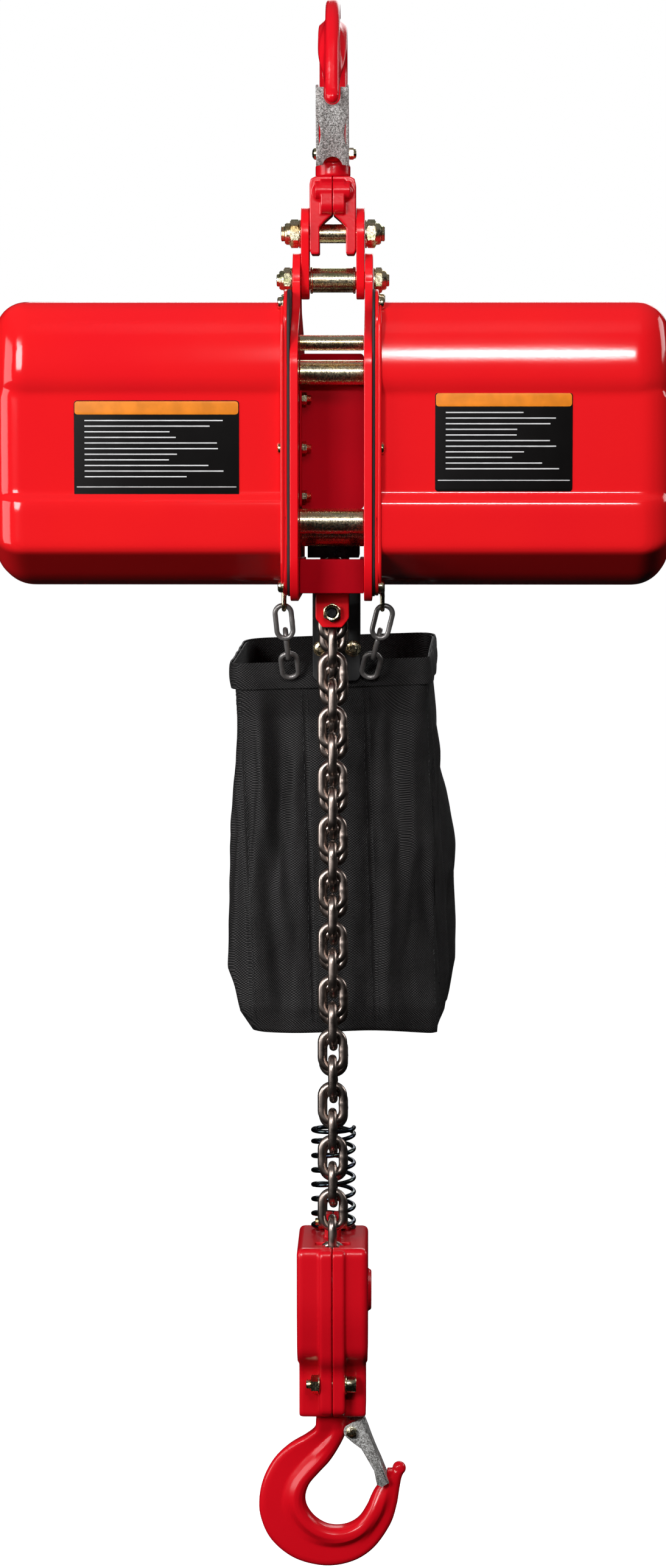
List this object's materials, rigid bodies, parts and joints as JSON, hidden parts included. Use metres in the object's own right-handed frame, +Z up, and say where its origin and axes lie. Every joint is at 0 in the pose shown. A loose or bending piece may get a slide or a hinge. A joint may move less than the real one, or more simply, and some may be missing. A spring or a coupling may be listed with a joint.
{
  "type": "electric chain hoist",
  "caption": "Electric chain hoist with box covers on side plates, swivel top hook, chain falls to a hook block with a sprung-latch hook, and a fabric chain bag.",
  "frame": {"origin": "the load seat inside the top hook, where the part hangs", "axes": "+Z up along the load line, +X to the gearbox side, +Y to the rear, where the chain bag hangs"},
  "size_m": [0.513, 0.2992, 1.2274],
  "materials": {
    "red_paint": "glossy enamel, slightly orange-peeled",
    "dark_red_paint": "satin enamel",
    "zinc_yellow": "yellow-passivated zinc, iridescent",
    "zinc_grey": "grainy galvanised zinc",
    "chain_steel": "oiled dark hardened steel",
    "black_steel": "black oxide",
    "machined_steel": "turned steel",
    "laminations": "stacked sheet steel",
    "cast_aluminium": "as-cast aluminium",
    "black_plastic": "matt moulded nylon",
    "black_fabric": "heavy woven nylon"
  },
  "bodies": {
    "top_hook": {"top_hook": "red_paint", "top_hook_nut": "machined_steel"},
    "top_latch": {"top_hook_latch": "zinc_grey"},
    "clevis": {"clevis_left": "red_paint", "clevis_right": "red_paint"},
    "suspension_links": {"link_plate_left": "red_paint", "link_plate_right": "red_paint", "upper_pin": "zinc_yellow", "upper_pin_nut_left": "zinc_yellow", "upper_pin_nut_right": "zinc_yellow", "lower_pin_sleeve": "zinc_yellow"},
    "hoist_frame": {"side_plate_left": "red_paint", "side_plate_right": "red_paint", "lower_pin": "zinc_yellow", "lower_pin_nut_left": "zinc_yellow", "lower_pin_nut_right": "zinc_yellow", "tie_rod_top_front": "zinc_yellow", "tie_rod_top_rear": "zinc_yellow", "tie_rod_bottom_front": "zinc_yellow", "tie_rod_bottom_rear": "zinc_yellow", "guard_panel": "dark_red_paint", "chain_guide": "black_steel", "anchor_beam": "red_paint", "anchor_bolt": "black_steel", "anchor_nut": "zinc_yellow", "motor_cover": "red_paint", "gear_cover": "red_paint", "motor_stator": "laminations", "motor_end_shield": "machined_steel", "gearbox_housing": "cast_aluminium", "contactor_box": "black_plastic", "limit_switch": "black_plastic", "cable_gland": "black_plastic", "dead_fall_1": "chain_steel", "live_fall_1": "chain_steel", "chain_over_sheave": "chain_steel", "slack_chain": "chain_steel", "chain_bag": "black_fabric", "bag_bracket": "black_steel", "bag_chain_left": "chain_steel", "bag_chain_right": "chain_steel"},
    "motor_rotor": {"motor_rotor": "machined_steel", "brake_disc": "black_steel"},
    "intermediate_gear": {"intermediate_gear": "machined_steel"},
    "load_sheave": {"load_sheave": "machined_steel", "final_gear": "machined_steel"},
    "chain_middle": {"dead_fall_2": "chain_steel", "live_fall_2": "chain_steel"},
    "hook_block": {"block_half_left": "red_paint", "block_half_right": "red_paint", "idler_axle": "machined_steel", "block_bolt": "zinc_yellow", "chain_in_block": "chain_steel", "dead_fall_3": "chain_steel", "live_fall_3": "chain_steel", "buffer_spring": "black_steel"},
    "idler_sheave": {"idler_sheave": "machined_steel"},
    "bottom_hook": {"bottom_hook": "red_paint", "bottom_hook_nut": "machined_steel"},
    "bottom_latch": {"bottom_hook_latch": "zinc_grey"}
  },
  "joints": [
    {"name": "top_hook_swivel", "type": "hinge", "parent": "top_hook", "child": "clevis", "pos_m": [0, 0, -0.11], "axis": [0, 0, 1], "continuous": true},
    {"name": "top_latch_hinge", "type": "hinge", "parent": "top_hook", "child": "top_latch", "pos_m": [0, -0.0163, -0.0871], "axis": [-1, 0, 0], "range_deg": [0, 50], "stiffness_Nm_per_rad": 0.05, "springref_deg": -22.92},
    {"name": "upper_link_hinge", "type": "hinge", "parent": "clevis", "child": "suspension_links", "pos_m": [0, 0, -0.147], "axis": [1, 0, 0], "range_deg": [-20, 20]},
    {"name": "lower_link_hinge", "type": "hinge", "parent": "suspension_links", "child": "hoist_frame", "pos_m": [0, 0, -0.1826], "axis": [1, 0, 0], "range_deg": [-20, 20]},
    {"name": "motor_spin", "type": "hinge", "parent": "hoist_frame", "child": "motor_rotor", "pos_m": [0, -0.029, -0.3], "axis": [-1, 0, 0], "range_deg": [0, 23328], "deforming": ["dead_fall_1", "live_fall_1"]},
    {"name": "intermediate_gear_spin", "type": "hinge", "parent": "hoist_frame", "child": "intermediate_gear", "pos_m": [0, 0.01221, -0.31541], "axis": [-1, 0, 0], "range_deg": [-5185, 0]},
    {"name": "load_sheave_spin", "type": "hinge", "parent": "hoist_frame", "child": "load_sheave", "pos_m": [0, 0.06142, -0.31], "axis": [-1, 0, 0], "range_deg": [0, 1153], "deforming": ["chain_over_sheave"]},
    {"name": "chain_middle_rise", "type": "slide", "parent": "hoist_frame", "child": "chain_middle", "axis": [0, 0, 1], "range_m": [0, 0.1681], "deforming": ["dead_fall_2", "live_fall_2"]},
    {"name": "hook_block_lift", "type": "slide", "parent": "hoist_frame", "child": "hook_block", "axis": [0, 0, 1], "range_m": [0, 0.3361], "deforming": ["dead_fall_3", "live_fall_3"]},
    {"name": "idler_sheave_spin", "type": "hinge", "parent": "hook_block", "child": "idler_sheave", "pos_m": [0, 0, -0.9744], "axis": [1, 0, 0], "range_deg": [0, 721], "deforming": ["chain_in_block"]},
    {"name": "bottom_hook_swivel", "type": "hinge", "parent": "hook_block", "child": "bottom_hook", "pos_m": [0, 0, -1.06], "axis": [0, 0, 1], "continuous": true},
    {"name": "bottom_latch_hinge", "type": "hinge", "parent": "bottom_hook", "child": "bottom_latch", "pos_m": [0.0148, 0, -1.0858], "axis": [0, 1, 0], "range_deg": [0, 50], "stiffness_Nm_per_rad": 0.05, "springref_deg": -22.92}
  ],
  "couplings": [
    {"joint": "intermediate_gear_spin", "follows": "motor_spin", "ratio": -0.22222},
    {"joint": "load_sheave_spin", "follows": "motor_spin", "ratio": 0.049383},
    {"joint": "chain_middle_rise", "follows": "motor_spin", "m_per_rad": 0.00041262},
    {"joint": "hook_block_lift", "follows": "motor_spin", "m_per_rad": 0.00082525},
    {"joint": "idler_sheave_spin", "follows": "motor_spin", "ratio": 0.030864}
  ]
}
